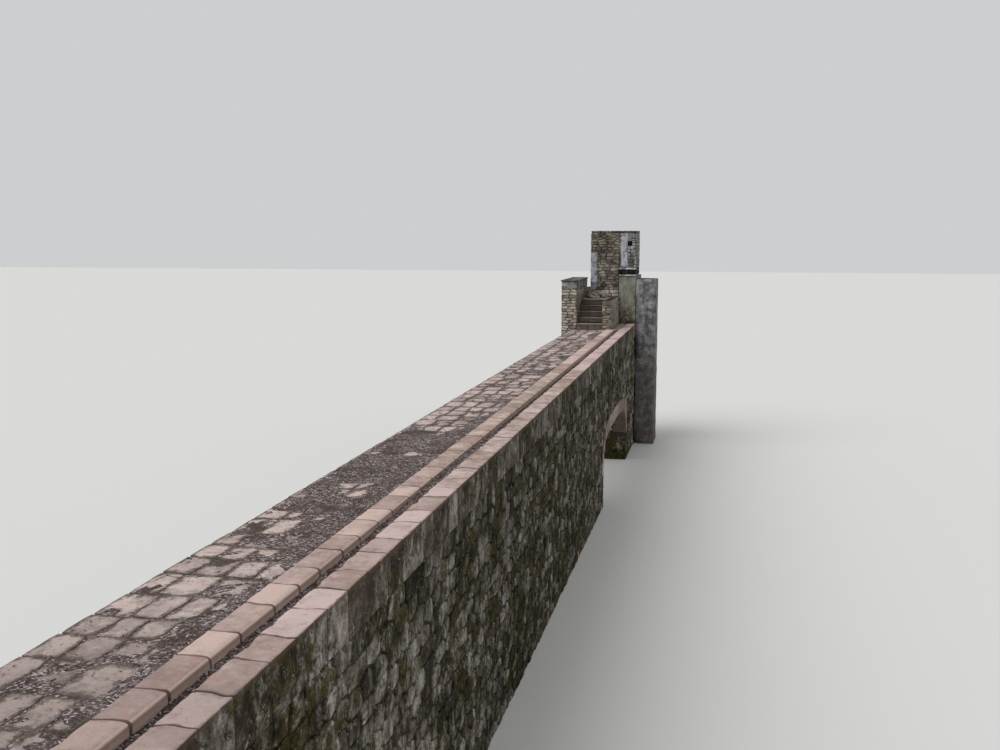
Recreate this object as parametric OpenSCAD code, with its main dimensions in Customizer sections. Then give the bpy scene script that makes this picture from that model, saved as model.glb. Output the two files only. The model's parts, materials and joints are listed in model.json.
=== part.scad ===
// Long stone causeway bridge: a straight masonry wall with a paved crest, one low arch near its
// far end, and an abutment there with steps, a small gate tower and a wing pier.
// The wall runs along +Y, its coping faces +X and +Z is up. Sizes are in millimetres.
// The origin is on the ground plane, at the middle of the whole object's footprint.

/* [Wall] */
// Length of the crest from the near end to the foot of the steps
crest_len = 31600; // [26000:100:34000]
// Width of the crest over deck, kerb, gutter and coping
wall_w = 1960; // [1800:10:2400]
// Height of the crest over the lowest ground
wall_h = 4400; // [3800:50:5400]
// Width of the open joints between crest stones
joint_w = 12; // [6:1:20]
// Mean length of the coping and kerb stones
stone_len = 585; // [450:5:900]

/* [Crest] */
// Height of the coping stones on the wall's face
coping_h = 490; // [300:10:560]
// Width of the coping stones
coping_w = 340; // [280:10:420]
// Overhang of the coping past the wall's face
coping_lip = 15; // [5:5:40]
// Wear of the coping's arrises
arris = 14; // [6:1:25]
// Width of the gutter between coping and kerb, at its foot
gutter_w = 130; // [90:5:200]
// Depth of the gutter below the coping's top
gutter_drop = 130; // [100:5:170]
// Height of the kerb stones, bed to top
kerb_h = 250; // [200:10:290]
// Width of the kerb stones at their foot
kerb_w = 290; // [220:10:360]
// Radius of the kerb's rounded edge
kerb_round = 60; // [40:5:100]
// Step from the kerb's top down to the deck
deck_drop = 30; // [10:5:60]
// Thickness of the deck slabs
slab_h = 120; // [90:5:160]
// Mean length of one course of deck slabs along the wall
slab_len = 505; // [350:5:700]

/* [Arch] */
// Clear span of the arch
arch_span = 6600; // [5000:50:8000]
// Height of the arch's crown over the lowest ground
arch_crown = 1980; // [1500:20:2400]
// Radius of the arch's haunches
haunch_r = 950; // [600:25:1150]
// Height of the crown over the top of the haunch circles
crown_rise = 110; // [60:10:250]
// Depth of the arch stones
voussoir_h = 380; // [280:10:500]
// Mean width of one arch stone
voussoir_w = 330; // [240:10:450]
// Length of the arch stones into the wall
voussoir_len = 450; // [300:10:700]
// Length of wall between the arch and the foot of the steps
pier_len = 200; // [50:10:800]

/* [Abutment] */
// Length of the abutment behind the tower's front
abutment_len = 2400; // [2000:50:3200]
// Distance from the foot of the steps to the tower's front
tower_back = 2800; // [2400:10:3200]
// How far the left cheek stands out past the deck
cheek_out = 310; // [200:10:450]
// Width of the left cheek wall beside the steps
cheek_w = 520; // [480:10:700]
// Height of the cheek's rubble part over the crest
cheek_h = 1330; // [1100:10:1500]
// Height of the dressed band on the cheek
band_h = 270; // [150:10:340]
// Thickness of the thin cap slab on the band
cap_h = 50; // [40:5:100]
// Overhang of the cap slab
cap_lip = 30; // [10:5:60]
// Height of one riser
riser = 190; // [160:5:210]
// Going of one tread
going = 290; // [250:5:320]
// Thickness of a tread at its nosing
tread_h = 60; // [40:5:90]
// Overhang of a tread's nosing
nosing = 20; // [10:5:35]
// Width of the steps
step_w = 870; // [700:10:960]
// Width of the low cheek right of the steps
low_cheek_w = 290; // [200:10:400]

/* [Gate tower] */
// Width of the tower
tower_w = 1640; // [1400:10:1800]
// Depth of the tower
tower_d = 1400; // [1100:10:1700]
// Height of the tower's top over the crest
tower_top = 3310; // [2900:10:3800]
// Thickness of the tower's walls
tower_t = 300; // [260:10:400]
// Height of the plinth under the tower's left part over the crest
plinth_h = 1190; // [1100:10:1400]
// Thickness of the slab on the tower's top
head_h = 90; // [60:5:160]
// Width of the gate block under the tower's right part
block_w = 620; // [500:10:700]
// Height of the gate block over the crest
block_h = 1690; // [1500:10:1800]
// Thickness of the two ledge slabs on the gate block
ledge_h = 60; // [40:5:90]
// Overhang of the ledge slabs
ledge_lip = 40; // [20:5:80]
// Height of the dark recess between the ledges
recess_h = 180; // [120:10:260]
// Depth of that recess
recess_d = 180; // [100:10:220]
// Side of the square hole in the tower's front
hole_w = 160; // [100:10:200]
// Drop from the tower's top to that hole's foot
hole_drop = 540; // [400:10:700]
// Width of the plastered strips on the tower's front
strip_w = 250; // [150:10:300]
// How far the plastered strips stand proud
strip_t = 25; // [10:5:40]
// Height of the left strip over the plinth
strip_h = 1340; // [1000:10:1600]

/* [Wing pier] */
// Width of the wing pier
wing_w = 720; // [500:10:1000]
// Depth of the wing pier
wing_d = 1300; // [900:10:1800]
// Height of the wing pier over the crest
wing_top = 1590; // [1300:10:2000]

/* [Hidden] */
$fn = 64;
// Relative lengths of crest stones as they were laid; each bay starts further along the list
laid = [62, 59, 52, 63, 52, 68, 54, 53, 64];
// Joints across the deck, as shares of its width
slab_cuts = [[0, 0.27, 0.53, 0.78, 1], [0, 0.24, 0.56, 1], [0, 0.3, 0.55, 0.8, 1], [0, 0.27, 0.5, 0.72, 1]];
bay_count = 6;
step_count = 5;
// Chords that stand for one haunch and for half the crown of the arch
haunch_chords = 28;
crown_chords = 16;
// How far a cutting shape runs past what it cuts
past = 40;
total_len = crest_len + tower_back + abutment_len;
total_w = wall_w + cheek_out + wing_w + cap_lip;
// Lines along the wall
y0 = -total_len / 2;
y_steps = y0 + crest_len;
y_landing = y_steps + step_count * going;
y_tower = y_steps + tower_back;
y_end = y_tower + abutment_len;
bay = crest_len / bay_count;
// Lines across the wall
x_face = total_w / 2 - wing_w;
x_deck = x_face - wall_w;
x_left = x_deck - cheek_out;
x_coping = x_face - coping_w;
x_kerb = x_coping - gutter_w;
x_slab = x_kerb - kerb_w;
x_tower = x_face - tower_w;
x_block = x_face - block_w;
x_step = x_left + cheek_w;
x_step2 = x_step + step_w;
x_head = x_step2 + low_cheek_w;
// Levels
z_crest = wall_h;
z_bed = z_crest - kerb_h;
z_coping = z_crest - coping_h;
z_deck = z_crest - deck_drop;
z_slab = z_deck - slab_h;
z_gutter = z_crest - gutter_drop;
z_landing = z_crest + step_count * riser;
z_cheek = z_crest + cheek_h;
z_cap = z_cheek + band_h;
z_plinth = z_crest + plinth_h;
z_top = z_crest + tower_top;
z_under_head = z_top - head_h;
z_hole = z_top - hole_drop;
z_block = z_crest + block_h;
z_ledge = z_block + ledge_h;
z_recess = z_ledge + recess_h;
z_lintel = z_recess + ledge_h;
// The arch is struck from three centres: two haunch circles and one wide crown circle
y_jamb2 = y_steps - pier_len;
y_jamb1 = y_jamb2 - arch_span;
y_mid = (y_jamb1 + y_jamb2) / 2;
arch_rise = haunch_r + crown_rise;
z_spring = arch_crown - arch_rise;
half_flat = arch_span / 2 - haunch_r;
crown_r = (arch_rise * arch_rise + half_flat * half_flat - haunch_r * haunch_r) / (2 * crown_rise);
z_crown_centre = arch_rise - crown_r;
haunch_turn = acos(half_flat / (crown_r - haunch_r));
third = round((y_jamb1 - y0) / 3);

// Colours of the stone
rubble = [0.42, 0.40, 0.34];
sandstone = [0.72, 0.58, 0.48];
slabstone = [0.60, 0.54, 0.52];
plaster = [0.62, 0.63, 0.66];

// A block given by its two opposite corners
module block(a, b) {
  translate(a) cube([b[0] - a[0], b[1] - a[1], b[2] - a[2]]);
}

// A profile drawn in x and height, carried along the wall from ya to yb
module along_wall(ya, yb) {
  translate([0, ya, 0]) rotate([90, 0, 0]) mirror([0, 0, 1]) linear_extrude(yb - ya) children();
}

// A profile drawn along the wall and in height, carried across it from xa to xb
module across_wall(xa, xb) {
  translate([xa, 0, 0]) rotate([90, 0, 90]) linear_extrude(xb - xa) children();
}

// Starts of n stones between a and b with the laid lengths, the list turned by k; n + 1 values
function share(i, k) = laid[(i + 2 * k) % len(laid)];
function run(n, k) = [for (i = 0, s = 0; i <= n; s = s + share(i, k), i = i + 1) s];
function starts(a, b, n, k) = let (r = run(n, k)) [for (s = r) a + (b - a) * s / r[n]];

// Points on an arc round c from angle a0 to a1, leaving out the first one
function arc(c, r, a0, a1, n) = [for (i = [1 : n]) c + r * angle(a0 + (a1 - a0) * i / n)];
function angle(a) = [cos(a), sin(a)];

// Right half of the arch's curve grown by d: up the haunch from its springing, then over the crown
function half_curve(d) = concat(
  [[half_flat + haunch_r + d, 0]],
  arc([half_flat, 0], haunch_r + d, 0, haunch_turn, haunch_chords),
  arc([0, z_crown_centre], crown_r + d, haunch_turn, 90, crown_chords)
);
function curve(d) = let (half = half_curve(d), n = len(half))
  concat(half, [for (i = [n - 2 : -1 : 0]) [-half[i][0], half[i][1]]]);
module arch_outline(d) translate([y_mid, z_spring]) polygon(curve(d));

// The room that the arch ring takes in the masonry around it
module ring_room() across_wall(x_deck - past, x_face + past) arch_outline(voussoir_h);

// One stone of the ring, between radial joints at the angles a0 and a1 round the centre c
module arch_stone(c, r, a0, a1) {
  r0 = r - past;
  r1 = (r + voussoir_h) / cos((a1 - a0) / 2) + past;
  gap = joint_w / 2;
  translate([y_mid, z_spring]) intersection() {
    difference() {
      polygon(curve(voussoir_h));
      polygon(curve(0));
    }
    polygon([
      c + r0 * angle(a0) + gap * angle(a0 + 90), c + r1 * angle(a0) + gap * angle(a0 + 90),
      c + r1 * angle(a1) - gap * angle(a1 + 90), c + r0 * angle(a1) - gap * angle(a1 + 90)
    ]);
  }
}

// All arch stones, through the wall from xa to xb
module arch_stones(xa, xb) {
  n_haunch = round(haunch_turn * PI / 180 * (haunch_r + voussoir_h / 2) / voussoir_w);
  turn = haunch_turn / n_haunch;
  for (i = [0 : n_haunch - 1]) {
    across_wall(xa, xb) arch_stone([half_flat, 0], haunch_r, i * turn, (i + 1) * turn);
    across_wall(xa, xb) arch_stone([-half_flat, 0], haunch_r, 180 - (i + 1) * turn, 180 - i * turn);
  }
  crown_turn = 180 - 2 * haunch_turn;
  n_crown = 2 * floor(crown_turn * PI / 360 * (crown_r + voussoir_h / 2) / voussoir_w) + 1;
  step = crown_turn / n_crown;
  for (i = [0 : n_crown - 1])
    across_wall(xa, xb)
      arch_stone([0, z_crown_centre], crown_r, haunch_turn + i * step, haunch_turn + (i + 1) * step);
}
module arch_stones_right() color(sandstone) arch_stones(x_face - voussoir_len, x_face);
module arch_stones_left() color(sandstone) arch_stones(x_deck, x_deck + voussoir_len);
module arch_barrel() color(rubble) across_wall(x_deck + voussoir_len, x_face - voussoir_len) difference() {
  arch_outline(voussoir_h);
  arch_outline(0);
}

// Backing of the wall: a shoulder for the coping and a raised bed for the deck slabs.
// Past the foot of the steps the bed is level.
module wall_section(ya, yb, za = 0) {
  if (ya < y_steps)
    along_wall(ya, min(yb, y_steps)) polygon([
      [x_deck, za], [x_face, za], [x_face, z_coping], [x_coping, z_coping],
      [x_coping, z_bed], [x_slab, z_bed], [x_slab, z_slab], [x_deck, z_slab]
    ]);
  if (yb > y_steps)
    along_wall(max(ya, y_steps), yb) polygon([
      [x_deck, za], [x_face, za], [x_face, z_coping], [x_coping, z_coping],
      [x_coping, z_bed], [x_deck, z_bed]
    ]);
}
module near_wall() color(rubble) wall_section(y0, y0 + third);
module middle_wall() color(rubble) wall_section(y0 + third, y0 + 2 * third);
module far_wall() color(rubble) difference() {
  wall_section(y0 + 2 * third, y_jamb1);
  ring_room();
}
module arch_spandrel() color(rubble) difference() {
  wall_section(y_jamb1, y_jamb2, z_spring + haunch_r / 3);
  ring_room();
}
module arch_pier() color(rubble) difference() {
  wall_section(y_jamb2, y_tower);
  ring_room();
}

// One coping stone with worn arrises and a slightly ragged edge on the gutter
module coping_stone(ya, yb, i) {
  rag = 6 + (i * 37) % 19;
  along_wall(ya, yb) polygon([
    [x_coping + rag, z_coping], [x_face + coping_lip, z_coping], [x_face + coping_lip, z_crest - arris],
    [x_face + coping_lip - arris, z_crest], [x_coping + rag + 2 * arris, z_crest],
    [x_coping + rag, z_crest - arris]
  ]);
}
module coping_row(ya, yb, k) color(sandstone) {
  n = round((yb - ya) / stone_len);
  s = starts(ya, yb, n, k);
  for (i = [0 : n - 1]) coping_stone(s[i] + joint_w / 2, s[i + 1] - joint_w / 2, i + 3 * k);
}
module coping_bays(k) for (i = [k, k + 1]) coping_row(y0 + i * bay, y0 + (i + 1) * bay, i);
module coping_near() coping_bays(0);
module coping_middle() coping_bays(2);
module coping_far() coping_bays(4);
module pier_head_coping() coping_row(y_steps, y_tower, 6);

// Kerb stones: flat on top, with the edge over the gutter rounded
module kerb_stone(ya, yb) {
  along_wall(ya, yb) translate([x_slab, z_bed]) {
    square([kerb_w - kerb_round, kerb_h]);
    square([kerb_w, kerb_h - kerb_round]);
    translate([kerb_w - kerb_round, kerb_h - kerb_round]) circle(r = kerb_round);
  }
}
module kerb_bays(k) color(sandstone) for (i = [k, k + 1]) {
  n = round(bay / stone_len);
  s = starts(y0 + i * bay, y0 + (i + 1) * bay, n, i);
  for (j = [0 : n - 1]) kerb_stone(s[j] + joint_w / 2, s[j + 1] - joint_w / 2);
}
module kerb_near() kerb_bays(0);
module kerb_middle() kerb_bays(2);
module kerb_far() kerb_bays(4);

module gutter_bed() color(rubble) block([x_kerb, y0, z_bed], [x_coping, y_steps, z_gutter]);

// Deck slabs: courses across the wall, each cut by one of the joint patterns
module slab_course(ya, yb, i) {
  cuts = slab_cuts[i % len(slab_cuts)];
  w = x_slab - x_deck;
  for (j = [0 : len(cuts) - 2])
    block([x_deck + cuts[j] * w + (j == 0 ? 0 : joint_w / 2), ya + joint_w / 2, z_slab],
          [x_deck + cuts[j + 1] * w - joint_w / 2, yb - joint_w / 2, z_deck]);
}
module deck_bays(k) color(slabstone) for (i = [k, k + 1]) {
  n = round(bay / slab_len);
  s = starts(y0 + i * bay, y0 + (i + 1) * bay, n, i + 1);
  for (j = [0 : n - 1]) slab_course(s[j], s[j + 1], j * 3 + i);
}
module deck_near() deck_bays(0);
module deck_middle() deck_bays(2);
module deck_far() deck_bays(4);

// Wide slab that closes the gutter between the low cheek and the coping
module pier_head_slab() color(slabstone)
  block([x_head, y_steps, z_bed], [x_coping, y_tower, z_crest]);

// Left cheek beside the steps, from the ground up; above the bed it also covers the wall's edge
module left_cheek() color(rubble) along_wall(y_steps, y_tower) polygon([
  [x_left, 0], [x_deck, 0], [x_deck, z_bed], [x_step, z_bed], [x_step, z_cheek], [x_left, z_cheek]
]);
module cheek_band() color(plaster)
  block([x_left, y_steps, z_cheek], [x_step, y_tower, z_cap]);
module cheek_cap() color(sandstone)
  block([x_left - cap_lip, y_steps - cap_lip, z_cap], [x_step + cap_lip, y_tower, z_cap + cap_h]);
module low_cheek() color(rubble)
  block([x_step2, y_steps, z_bed], [x_head, y_tower, z_landing]);

// Solid steps with a nosing, each one seated on the one below
module stair(i) color(slabstone) {
  z = z_crest + i * riser;
  y = y_steps + (i - 1) * going;
  block([x_step, y, i == 1 ? z_bed : z - riser], [x_step2, y_landing, z]);
  block([x_step, y - nosing, z - tread_h], [x_step2, y + 1, z]);
}
module step_1() stair(1);
module step_2() stair(2);
module step_3() stair(3);
module step_4() stair(4);
module step_5() stair(5);
module landing() color(slabstone)
  block([x_step, y_landing, z_bed], [x_step2, y_tower, z_landing]);

module abutment_base() color(rubble)
  block([x_left, y_tower, 0], [x_face, y_end, z_crest]);
module tower_plinth() color(rubble)
  block([x_left, y_tower, z_crest], [x_block, y_end, z_plinth]);
module gate_block() color(plaster)
  block([x_block, y_tower, z_crest], [x_face, y_end, z_block]);

// Slab on the gate block, and the slab over the dark recess
module gate_ledge() color(sandstone)
  block([x_block, y_tower - ledge_lip, z_block], [x_face, y_tower + tower_d, z_ledge]);
module tower_lintel() color(sandstone)
  block([x_block, y_tower - ledge_lip, z_recess], [x_face, y_tower + tower_t, z_lintel]);

// Gate tower: four walls and a flat head
module tower_front_wall() color(rubble) difference() {
  union() {
    block([x_tower, y_tower, z_plinth], [x_block, y_tower + tower_t, z_under_head]);
    block([x_block, y_tower, z_lintel], [x_face, y_tower + tower_t, z_under_head]);
    block([x_block, y_tower + recess_d, z_ledge], [x_face, y_tower + tower_t, z_recess]);
  }
  block([x_face - 2 * hole_w, y_tower - past, z_hole], [x_face - hole_w, y_tower + recess_d, z_hole + hole_w]);
}
module tower_left_wall() color(rubble)
  block([x_tower, y_tower + tower_t, z_plinth], [x_tower + tower_t, y_tower + tower_d - tower_t, z_under_head]);
module tower_right_wall() color(rubble)
  block([x_face - tower_t, y_tower + tower_t, z_ledge], [x_face, y_tower + tower_d - tower_t, z_under_head]);
module tower_back_wall() color(rubble) {
  block([x_tower, y_tower + tower_d - tower_t, z_plinth], [x_block, y_tower + tower_d, z_under_head]);
  block([x_block, y_tower + tower_d - tower_t, z_ledge], [x_face, y_tower + tower_d, z_under_head]);
}
module tower_head() color(sandstone)
  block([x_tower, y_tower, z_under_head], [x_face, y_tower + tower_d, z_top]);
module plaster_strips() color(plaster) {
  block([x_tower, y_tower - strip_t, z_plinth], [x_tower + strip_w, y_tower, z_plinth + strip_h]);
  block([x_block + ledge_h, y_tower - strip_t, z_lintel], [x_block + ledge_h + strip_w, y_tower, z_under_head]);
}

module wing_pier() color(plaster)
  block([x_face, y_tower, 0], [x_face + wing_w, y_tower + wing_d, z_crest + wing_top]);

near_wall();
middle_wall();
far_wall();
arch_spandrel();
arch_pier();
arch_stones_right();
arch_barrel();
arch_stones_left();
coping_near();
coping_middle();
coping_far();
kerb_near();
kerb_middle();
kerb_far();
deck_near();
deck_middle();
deck_far();
gutter_bed();
pier_head_coping();
pier_head_slab();
left_cheek();
cheek_band();
cheek_cap();
low_cheek();
step_1();
step_2();
step_3();
step_4();
step_5();
landing();
abutment_base();
tower_plinth();
gate_block();
gate_ledge();
tower_lintel();
tower_front_wall();
tower_left_wall();
tower_right_wall();
tower_back_wall();
tower_head();
plaster_strips();
wing_pier();
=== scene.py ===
"""Looks of the stone causeway: its worn crest, rubble faces, low arch and small gate tower.

Metres, in the frame of the construction: +Y runs along the wall to the tower, the coping is on the
+X side, and Z is up from the lowest ground.
"""

import itertools
import json
import math
import random

import bpy
import numpy as np
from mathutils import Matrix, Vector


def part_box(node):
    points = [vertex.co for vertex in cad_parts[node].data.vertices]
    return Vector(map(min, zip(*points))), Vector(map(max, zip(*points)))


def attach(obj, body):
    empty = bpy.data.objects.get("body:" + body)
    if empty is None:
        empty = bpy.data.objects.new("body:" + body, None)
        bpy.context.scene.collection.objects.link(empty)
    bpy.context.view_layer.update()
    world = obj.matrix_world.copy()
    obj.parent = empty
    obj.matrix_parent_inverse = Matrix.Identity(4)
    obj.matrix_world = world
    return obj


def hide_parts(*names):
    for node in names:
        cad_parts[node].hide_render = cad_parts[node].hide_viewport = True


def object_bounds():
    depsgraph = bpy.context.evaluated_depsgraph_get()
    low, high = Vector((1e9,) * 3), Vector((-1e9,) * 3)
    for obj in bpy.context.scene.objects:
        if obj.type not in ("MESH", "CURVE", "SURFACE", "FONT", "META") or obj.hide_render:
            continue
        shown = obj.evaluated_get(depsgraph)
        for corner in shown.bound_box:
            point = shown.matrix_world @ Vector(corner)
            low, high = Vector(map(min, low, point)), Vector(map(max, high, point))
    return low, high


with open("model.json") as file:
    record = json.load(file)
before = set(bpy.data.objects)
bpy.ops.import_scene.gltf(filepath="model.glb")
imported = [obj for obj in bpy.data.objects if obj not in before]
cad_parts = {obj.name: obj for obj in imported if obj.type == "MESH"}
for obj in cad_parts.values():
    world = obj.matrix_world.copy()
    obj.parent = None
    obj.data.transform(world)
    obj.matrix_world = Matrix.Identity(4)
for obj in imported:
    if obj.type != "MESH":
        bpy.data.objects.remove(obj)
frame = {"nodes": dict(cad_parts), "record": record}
construction_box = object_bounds()
bpy.ops.object.select_all(action="DESELECT")
chance = random.Random(4)
uniform = chance.uniform

# Lines and levels of the construction, read from its pieces
wall_low, wall_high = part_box("near_wall")
coping_low, coping_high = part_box("coping_near")
kerb_low, kerb_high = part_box("kerb_near")
deck_low, deck_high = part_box("deck_near")
gutter_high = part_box("gutter_bed")[1]
barrel_low, barrel_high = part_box("arch_barrel")
wing_low, wing_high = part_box("wing_pier")
step_low, step_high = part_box("step_1")
landing_low, landing_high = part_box("landing")
cheek_low, cheek_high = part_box("left_cheek")
side_low, side_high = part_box("low_cheek")
tower_low, tower_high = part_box("tower_front_wall")
tower_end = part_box("tower_back_wall")[1]
NEAR_END = wall_low.y
STEPS = gutter_high.y
TOWER = wing_low.y
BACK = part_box("abutment_base")[1].y
FACE = wall_high.x
LEFT_FACE = wall_low.x
COPING = gutter_high.x
KERB_SIDE = kerb_high.x
DECK_SIDE = kerb_low.x
BLOCK_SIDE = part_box("gate_block")[0].x
STEP_JOINT = step_low.x + 0.43 * (step_high.x - step_low.x)
BED = wall_high.z
COPING_FOOT = coping_low.z
KERB_FOOT = kerb_low.z
CREST = coping_high.z
JOINTED_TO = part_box("step_2")[1].z
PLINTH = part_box("tower_plinth")[1].z
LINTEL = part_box("tower_lintel")[1].z
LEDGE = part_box("gate_ledge")[1].z
UNDER_HEAD = tower_high.z

slot_of = {part["node"]: part["material_slot"] for part in frame["record"]["subparts"]}


# Camera, at the place and angle that the photograph was taken from
CAMERA_OUT = 3.34
CAMERA_BACK = 5.0
CAMERA_OVER_CREST = 3.2
PITCH = 7.381
YAW = 11.939
FOCAL = 1090
IMAGE_WIDTH = 1000
SENSOR = 36


def linked(name, data):
    thing = bpy.data.objects.new(name, data)
    bpy.context.scene.collection.objects.link(thing)
    return thing


lens = bpy.data.cameras.new("camera")
lens.sensor_width = SENSOR
lens.sensor_fit = "HORIZONTAL"
lens.lens = FOCAL / IMAGE_WIDTH * SENSOR
lens.clip_end = 500
camera = linked("camera", lens)
camera.location = (FACE + CAMERA_OUT, NEAR_END - CAMERA_BACK, CREST + CAMERA_OVER_CREST)
camera.rotation_euler = (math.radians(90 - PITCH), 0, math.radians(YAW))
bpy.context.scene.camera = camera


# Shader maths: a wire wraps a socket, and an expression on wires adds its Math nodes

def math_method(operation, reflected=False):
    """A method that adds a Math node; a reflected one has the wire as its second value."""
    def method(wire, other):
        values = (other, wire) if reflected else (wire, other)
        return wire.finish.add("ShaderNodeMath", {"operation": operation}, dict(enumerate(values)))
    return method


class Wire:
    """One output socket of a material, which Python's operators work on."""

    def __init__(self, finish, socket):
        self.finish = finish
        self.socket = socket

    __add__ = math_method("ADD")
    __radd__ = math_method("ADD", True)
    __sub__ = math_method("SUBTRACT")
    __rsub__ = math_method("SUBTRACT", True)
    __mul__ = math_method("MULTIPLY")
    __rmul__ = math_method("MULTIPLY", True)

    def rise(self, low, high):
        """0 below low, 1 above high, and a smooth rise between them; a low over high falls."""
        start, end = (0.0, 1.0) if low < high else (1.0, 0.0)
        return self.finish.add("ShaderNodeMapRange", {"interpolation_type": "SMOOTHSTEP"}, {
            "Value": self, "From Min": min(low, high), "From Max": max(low, high),
            "To Min": start, "To Max": end})


def paint(red, green, blue):
    """A colour given as it looks, 0 to 255, in the linear values of a shader."""
    def linear(value):
        value /= 255
        return value / 12.92 if value <= 0.04045 else ((value + 0.055) / 1.055) ** 2.4
    return (linear(red), linear(green), linear(blue), 1.0)


class Finish:
    """One material, built from nodes on Object coordinates."""

    def __init__(self, name):
        self.material = bpy.data.materials.new(name)
        self.material.use_nodes = True
        self.tree = self.material.node_tree
        self.tree.nodes.clear()
        self.place = self.add("ShaderNodeTexCoord", output="Object")
        self.x, self.y, self.z = self.parts(self.place)
        facing = self.add("ShaderNodeNewGeometry", output="Normal")
        self.facing_x, self.facing_y, self.facing_z = self.parts(facing)
        self.tone, self.rim = (
            self.add("ShaderNodeAttribute", {"attribute_name": key}, {}, "Fac") for key in ("tone", "rim"))

    def add(self, kind, settings=None, inputs=None, output=0):
        node = self.tree.nodes.new(kind)
        for key, value in (settings or {}).items():
            if key == "stops":
                self.set_stops(node.color_ramp, value)
            else:
                setattr(node, key, value)
        for key, value in (inputs or {}).items():
            if isinstance(value, Wire):
                self.tree.links.new(value.socket, node.inputs[key])
            else:
                node.inputs[key].default_value = value
        return Wire(self, node.outputs[output]) if len(node.outputs) else node

    @staticmethod
    def set_stops(ramp, stops):
        while len(ramp.elements) < len(stops):
            ramp.elements.new(0.5)
        for element, (position, *colour) in zip(ramp.elements, stops):
            element.position = position
            element.color = paint(*colour)

    def parts(self, vector):
        split = self.add("ShaderNodeSeparateXYZ", {}, {0: vector}).socket.node
        return [Wire(self, socket) for socket in split.outputs]

    def noise(self, scale, detail=3.0, rough=0.55, warp=0.0):
        """Noise over the piece; a scale of three numbers stretches it along the axes."""
        where = self.place
        if isinstance(scale, tuple):
            where = self.add("ShaderNodeVectorMath", {"operation": "MULTIPLY"}, {0: where, 1: scale})
            scale = 1.0
        return self.add("ShaderNodeTexNoise", {}, {
            "Vector": where, "Scale": scale, "Detail": detail, "Roughness": rough, "Distortion": warp})

    def jostled_cells(self, scale, feature, output, push, reach):
        """Cells with uneven sides: a noise of scale push moves each place by up to a reach."""
        noise = self.add("ShaderNodeTexNoise", {}, {"Vector": self.place, "Scale": push}, "Color")
        inputs = {0: noise, 1: (reach, reach, reach), 2: self.place}
        where = self.add("ShaderNodeVectorMath", {"operation": "MULTIPLY_ADD"}, inputs)
        inputs = {"Vector": where, "Scale": scale}
        return self.add("ShaderNodeTexVoronoi", {"feature": feature}, inputs, output)

    def ramp(self, value, *stops):
        """Colours that follow a value; each stop has its position and its colour as it looks."""
        return self.add("ShaderNodeValToRGB", {"stops": stops}, {"Fac": value}, "Color")

    def blend(self, factor, first, second, mode="MIX"):
        """Mixes two colours; the Mix node's colour sockets are numbers 6 and 7."""
        settings = {"data_type": "RGBA", "blend_type": mode}
        return self.add("ShaderNodeMix", settings, {0: factor, 6: first, 7: second}, 2)

    def layered(self, colour, *layers):
        """Lays one colour after another over the first: an amount, and a wire or a colour as it looks."""
        for amount, *over in layers:
            colour = self.blend(amount, colour, paint(*over) if len(over) == 3 else over[0])
        return colour

    def shaded(self, colour, value):
        """Colour darkened or lightened by a value round 1."""
        grey = self.add("ShaderNodeCombineColor", {}, {0: value, 1: value, 2: value})
        return self.blend(1.0, colour, grey, "MULTIPLY")

    def done(self, colour, roughness, height, distance, strength=1.0):
        inputs = {"Height": height, "Distance": distance, "Strength": strength}
        shader = self.add("ShaderNodeBsdfPrincipled", {}, {
            "Base Color": colour, "Roughness": roughness, "Normal": self.add("ShaderNodeBump", {}, inputs),
            "Specular IOR Level": 0.06})
        self.add("ShaderNodeOutputMaterial", {}, {"Surface": shader})
        return self.material


# Weather that the stone faces share

def streaks(f):
    """Dark runs of damp down an upright face, strongest under the coping."""
    fine = f.noise((4, 4, 1.6), 6, 0.68, 0.3)
    broad = f.noise((1.2, 1.2, 0.7), 4, 0.6)
    below = (CREST - f.z).rise(2.4, 0.1) * 0.1
    return (fine * 0.6 + broad * 0.5 + below).rise(0.56, 0.72)


def far_stretch(f, start, full):
    """Rises between two distances from the near end, and falls again past the steps."""
    return (f.y - NEAR_END).rise(start, full) * (f.y - STEPS).rise(2.3, -0.2)


def weathered_face(f, stone_colour, mossy=0.0, crusted=1.0):
    """Grime, damp, lichen and moss laid over a stone colour, thicker further along the wall, where the
    colour is also painted darker for the shade of the trees and for darker growth.
    """
    broad = f.noise(0.6, 5, 0.62)
    fine = f.noise((6, 6, 4.6), 8, 0.7, 0.5)
    coarse = f.noise((2.2, 2.2, 3.2), 6, 0.6, 0.3)
    speckle = f.noise(30, 8, 0.78)
    crust = f.ramp(
        fine * 0.6 + coarse * 0.35 + f.tone * 0.13 - 0.035, (0.4, 24, 24, 14), (0.455, 54, 51, 36),
        (0.5, 98, 93, 79), (0.545, 134, 128, 117), (0.61, 180, 174, 167))
    cover = (broad.rise(0.4, 0.6) * 0.25 + 0.68) * crusted
    spots = f.noise(6.5, 9, 0.74, 0.6) * 0.75 + broad * 0.25
    moss = f.ramp(f.noise(50, 5, 0.74), (0.4, 36, 34, 15), (0.56, 76, 68, 26), (0.68, 112, 108, 42))
    further = far_stretch(f, 3.4, 13.4) * 0.026 + mossy
    patch = f.noise(3, 8, 0.72, 0.5) * 0.7 + broad * 0.3 + further
    lichen = f.noise(13, 8, 0.76).rise(0.595, 0.63)
    colour = f.layered(
        f.shaded(stone_colour, speckle * 1.4 + 0.05),
        (cover, f.shaded(crust, speckle * 3.4 - 0.65)),
        (streaks(f) * 0.5, 31, 30, 22),
        (spots.rise(0.53, 0.565) * 0.7 * crusted, 26, 25, 13),
        (patch.rise(0.53, 0.565) * 0.8, moss),
        (lichen * 0.6, 176, 172, 166))
    # Painted shade: darker further along the wall, for the shade of the trees over it together with darker
    # moss and grime.
    return f.shaded(colour, 1.0 - far_stretch(f, 3.4, 11.4) * 0.26)


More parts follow.
